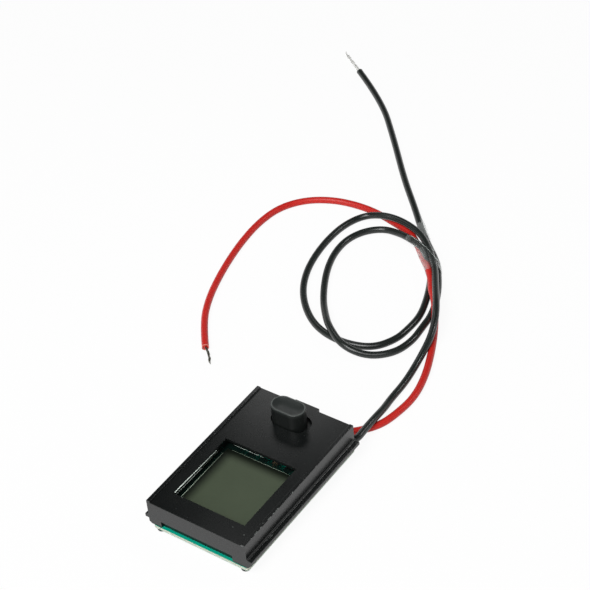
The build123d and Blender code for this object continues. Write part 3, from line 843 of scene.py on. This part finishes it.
# %% Stretch a sleeve over the strands
FILM_SIDES = 32
FILM_GAP, FLOOR_GAP, RAGGED_END = 0.07 * MM, 0.03 * MM, 0.5 * MM
WRINKLES, WRINKLE_STRETCH, RAGGED_WRINKLES = 2.2, 0.35, 1.7
HULL_SIDES, LEAST_SLANT = 72, 0.1
HULL_ANGLES = [math.tau * k / HULL_SIDES for k in range(HULL_SIDES)]


def taut_reach(angle, middle, spots):
    """How far a taut skin around the spots is from the middle, in one direction."""
    reach = 1.0
    for lean in HULL_ANGLES:
        slant = math.cos(lean - angle)
        if slant > LEAST_SLANT:
            normal = Vector((math.cos(lean), math.sin(lean)))
            hull = max((spot - middle).dot(normal) for spot in spots) + LEAD_RADIUS + FILM_GAP
            reach = min(reach, hull / slant)
    return reach


CLEAR_HAZE, TAIL_HAZE, BODY_HAZE, END_HAZE, CORNER_HAZE = 0.008, 0.11, 0.14, 0.17, 0.35


def ramp(value, start, length):
    """Rises from 0 at a start to 1 after a length."""
    return min(1.0, max(0.0, (value - start) / length))


def haze_at(station, lean):
    """How milky the film is: clear on top, milky down the inner side and at the lower end."""
    lower_end = ramp(station / MM, 2.0, 4.0)
    tail = ramp(-station / MM, 5.0, 3.0)
    body = ramp(station / MM, -4.5, 2.0)
    inner, outer = max(0.0, -lean) ** 3, max(0.0, lean) ** 3
    milk = BODY_HAZE * body + END_HAZE * lower_end
    return CLEAR_HAZE + TAIL_HAZE * tail + inner * milk + CORNER_HAZE * outer * lower_end


def add_sleeve(bm, stations):
    """A tube of film. A station has its place, its spots, its slack and how far it is drawn in."""
    haze = bm.verts.layers.float.get("haze") or bm.verts.layers.float.new("haze")
    ring = bmesh.ops.create_circle(bm, cap_ends=False, segments=FILM_SIDES, radius=1.0)["verts"]
    edges = list({edge for vert in ring for edge in vert.link_edges})
    angles = {vert: math.atan2(vert.co.y, vert.co.x) for vert in ring}
    for number, (station, spots, slack, draw) in enumerate(stations):
        if number:
            links = bmesh.ops.extrude_edge_only(bm, edges=edges)["geom"]
            grown = of_kind(links, bmesh.types.BMVert)
            edges = [edge for edge in of_kind(links, bmesh.types.BMEdge)
                     if all(vert in grown for vert in edge.verts)]
            old = {vert: other for vert in grown for edge in vert.link_edges
                   for other in (edge.other_vert(vert),) if other in angles}
            angles = {vert: angles[old[vert]] for vert in grown}
        ragged = RAGGED_END if number in (0, len(stations) - 1) else 0.0
        middle = sum(spots, Vector((0.0, 0.0))) / len(spots)
        outermost = max(spot.x for spot in spots) + LEAD_RADIUS
        for vert, angle in angles.items():
            reach = taut_reach(angle, middle, spots)
            lengthwise = station / MM * WRINKLE_STRETCH
            wander = Vector((math.cos(angle), math.sin(angle), lengthwise)) * WRINKLES
            reach += slack * (0.5 + noise.noise(wander))
            across = outermost + (middle.x + reach * math.cos(angle) - outermost) * (1.0 - draw)
            up = max(middle.y + reach * math.sin(angle) * (1.0 - draw), FLOOR_GAP)
            place = station + ragged * noise.noise(wander * RAGGED_WRINKLES)
            vert.co = BUNDLE + TO_METER * place + ACROSS_BUNDLE * across + UP * up
            vert[haze] = haze_at(station, math.cos(angle))


def spaced(first, last, step=0.6):
    """Stations from first to last, in metres, about a step of millimetres apart."""
    count = max(2, round(abs(last - first) / step) + 1)
    return [(first + (last - first) * k / (count - 1)) * MM for k in range(count)]


def outer_strand(station):
    """The strand that lies furthest out at a station."""
    return [max(strands_at(station, *OUTER_SIDE), key=lambda spot: spot.x)]


FILM_END, PARTING, FLAP_END, TAIL_END, OVERLAP = 7.2, -1.2, -6.8, -18.0, 0.3
SNUG, LOOSE, DRAWN_IN = 0.10 * MM, 0.35 * MM, 0.9
bm = bmesh.new()
add_sleeve(bm, [
    (s, strands_at(s, *WHOLE_BUNDLE), SNUG, 0.0) for s in spaced(FILM_END, PARTING)
])
add_sleeve(bm, [
    (s, strands_at(s, *INNER_TURN), SNUG, 0.0) for s in spaced(PARTING + OVERLAP, FLAP_END)
])
add_sleeve(bm, [
    (s, outer_strand(s), LOOSE, DRAWN_IN * ramp(-s / MM, 12.0, 6.0))
    for s in spaced(PARTING + OVERLAP, TAIL_END)
])
print("film faces:", len(bm.faces))

# %% Film finish
FILM_SHEET = 0.04 * MM
clear_film, tree, shader = start_finish("clear_film", Specular_IOR_Level=0.5)
grain = add_grain(tree, shader, scale=900.0, bump=0.12, depth=0.1 * MM)
mix_by(
    tree, grain.outputs["Patch"], (0.70, 0.74, 0.72, 1), (0.86, 0.90, 0.88, 1),
    shader.inputs["Base Color"],
)
range_by(tree, grain.outputs["Patch"], 0.05, 0.25, shader.inputs["Roughness"])
milky = add_node(tree, "ShaderNodeAttribute", attribute_name="haze")
uneven = add_node(tree, "ShaderNodeMapRange")
uneven.inputs["To Min"].default_value = 0.1
uneven.inputs["To Max"].default_value = 1.9
tree.links.new(grain.outputs["Patch"], uneven.inputs["Value"])
cover = add_node(tree, "ShaderNodeMath", operation="MULTIPLY", use_clamp=True)
tree.links.new(milky.outputs["Fac"], cover.inputs[0])
tree.links.new(uneven.outputs["Result"], cover.inputs[1])
tree.links.new(cover.outputs["Value"], shader.inputs["Alpha"])
film_band = finish_piece("clear_film_band", bm, clear_film)
wall = film_band.modifiers.new("film_thickness", "SOLIDIFY")
wall.thickness = FILM_SHEET
wall.offset = 0.0
print("film thickness:", round(wall.thickness / MM, 3), "mm")

# %% Creases where the film is folded and rolled
# The threads are the rolled folds; their pale colour is a painted glint along each fold.
crease_glint = make_glint_finish("film_crease_glint", (0.16, 0.19, 0.18, 1), (0.48, 0.52, 0.50, 1))
CREASES = (
    (((-14.45, 87.54, 3.55), (-11.82, 86.54, 3.55), (-9.4, 85.62, 3.55)), 0.09),
    (((-9.26, 85.63, 3.6), (-7.07, 84.37, 3.6), (-5.36, 83.4, 3.55), (-4.4, 82.74, 3.5)), 0.055),
    (((-12.4, 85.62, 2.2), (-11.02, 86.57, 2.9)), 0.08),
    (((-7.12, 85.57, 3.4), (-6.62, 85.31, 3.4)), 0.11),
    (((-4.54, 83.16, 3.4), (-3.93, 82.62, 3.35)), 0.14),
)
bm = bmesh.new()
for line, radius in CREASES:
    for start, end in zip(line, line[1:]):
        add_thread(bm, start, end, radius)
creases = finish_piece("clear_film_creases", bm, crease_glint)
print("creases:", len(CREASES))

for piece, replaced, slot in (
    (black_lead, "black_lead", "black_insulation"),
    (red_lead, "red_lead", "red_insulation"),
    (black_strands, "black_lead_tip", "strands"),
    (red_strands, "red_lead_tip", "strands"),
    (film_band, "tape_band", "clear_film"),
):
    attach(piece, "case")
    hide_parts(replaced)
for piece, slot in (
    (black_cut, "black_insulation"), (red_cut, "red_insulation"), (creases, "clear_film"),
):
    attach(piece, "case")

# %% [markdown]
# ## Floor and surroundings
# The meter lies on a white table in soft studio light. The table is a large plane: to the camera
# and in reflections it is nearly pure white, with the meter's own soft shadow left in it. The room
# is pale near the table and dark overhead, which is what keeps the top of the housing black.

# %% Floor
FLOOR_HALF = 3.0
WHITE_SHARE = 0.93
bm = bmesh.new()
bmesh.ops.create_grid(bm, x_segments=1, y_segments=1, size=FLOOR_HALF)
floor_mat = bpy.data.materials.new("white_table")
floor_mat.use_nodes = True
tree = floor_mat.node_tree
tree.nodes.clear()
out = tree.nodes.new("ShaderNodeOutputMaterial")
paint = add_node(tree, "ShaderNodeBsdfDiffuse", Color=(0.9, 0.9, 0.9, 1))
glow = add_node(tree, "ShaderNodeEmission", Color=(1, 1, 1, 1), Strength=1.0)
rays = tree.nodes.new("ShaderNodeLightPath")
seen = add_node(tree, "ShaderNodeMath", operation="MAXIMUM")
seen_any = add_node(tree, "ShaderNodeMath", operation="MAXIMUM")
share = add_node(tree, "ShaderNodeMath", operation="MULTIPLY")
share.inputs[1].default_value = WHITE_SHARE
blend = tree.nodes.new("ShaderNodeMixShader")
tree.links.new(rays.outputs["Is Camera Ray"], seen.inputs[0])
tree.links.new(rays.outputs["Is Glossy Ray"], seen.inputs[1])
tree.links.new(seen.outputs["Value"], seen_any.inputs[0])
tree.links.new(rays.outputs["Is Transmission Ray"], seen_any.inputs[1])
tree.links.new(seen_any.outputs["Value"], share.inputs[0])
tree.links.new(share.outputs["Value"], blend.inputs[0])
tree.links.new(paint.outputs[0], blend.inputs[1])
tree.links.new(glow.outputs[0], blend.inputs[2])
tree.links.new(blend.outputs[0], out.inputs["Surface"])
floor = finish_piece("white_table", bm, floor_mat, smooth=False)
print("floor made")

# %% Room that is pale low down and dark overhead
scene.view_settings.view_transform = "Standard"
world = bpy.data.worlds.new("studio")
scene.world = world
world.use_nodes = True
tree = world.node_tree
background = tree.nodes["Background"]
direction = tree.nodes.new("ShaderNodeTexCoord")
split = tree.nodes.new("ShaderNodeSeparateXYZ")
height = add_node(tree, "ShaderNodeMapRange", interpolation_type="SMOOTHSTEP")
height.inputs["From Min"].default_value = 0.05
height.inputs["From Max"].default_value = 0.50
tree.links.new(direction.outputs["Generated"], split.inputs["Vector"])
tree.links.new(split.outputs["Z"], height.inputs["Value"])
mix_by(
    tree, height.outputs["Result"], (0.9, 0.9, 0.9, 1), (0.03, 0.03, 0.03, 1),
    background.inputs["Color"],
)
print("room lit")

# %% [markdown]
# ## Lamps
# A large soft lamp in front of the meter gives most of the light, and weaker ones beside it and
# lower down open the shades. A small dim card behind the meter puts a sheen on the back of the
# housing, one above the button fills its dish, and a small lamp far behind on the right draws a
# line of light along the leads.

# %% Lamps


def add_softbox(name, place, target, size, power):
    """A square area lamp that looks at a point."""
    light = bpy.data.lights.new(name, "AREA")
    light.shape = "SQUARE"
    light.size = size
    light.energy = power
    lamp = bpy.data.objects.new(name, light)
    lamp.matrix_world = along(Vector(place), Vector(place) - Vector(target))
    lamp.visible_camera = False
    scene.collection.objects.link(lamp)
    return lamp


MIDDLE = (0.0, 0.03, 0.0)
add_softbox("key_softbox", (-0.06, -0.44, 0.76), MIDDLE, 0.45, 5.5)
add_softbox("front_softbox", (0.29, -0.35, 0.76), MIDDLE, 0.45, 1.8)
add_softbox("low_softbox", (-0.10, -0.74, 0.45), MIDDLE, 0.45, 1.2)
add_softbox("back_card", (-0.056, 0.088, 0.074), (-0.003, 0.01, 0.008), 0.034, 0.0058)
add_softbox("top_card", (-0.026, 0.018, 0.075), (0.0, 0.0145, 0.012), 0.022, 0.0010)
add_softbox("side_softbox", (0.35, 0.46, 0.48), MIDDLE, 0.10, 0.5)
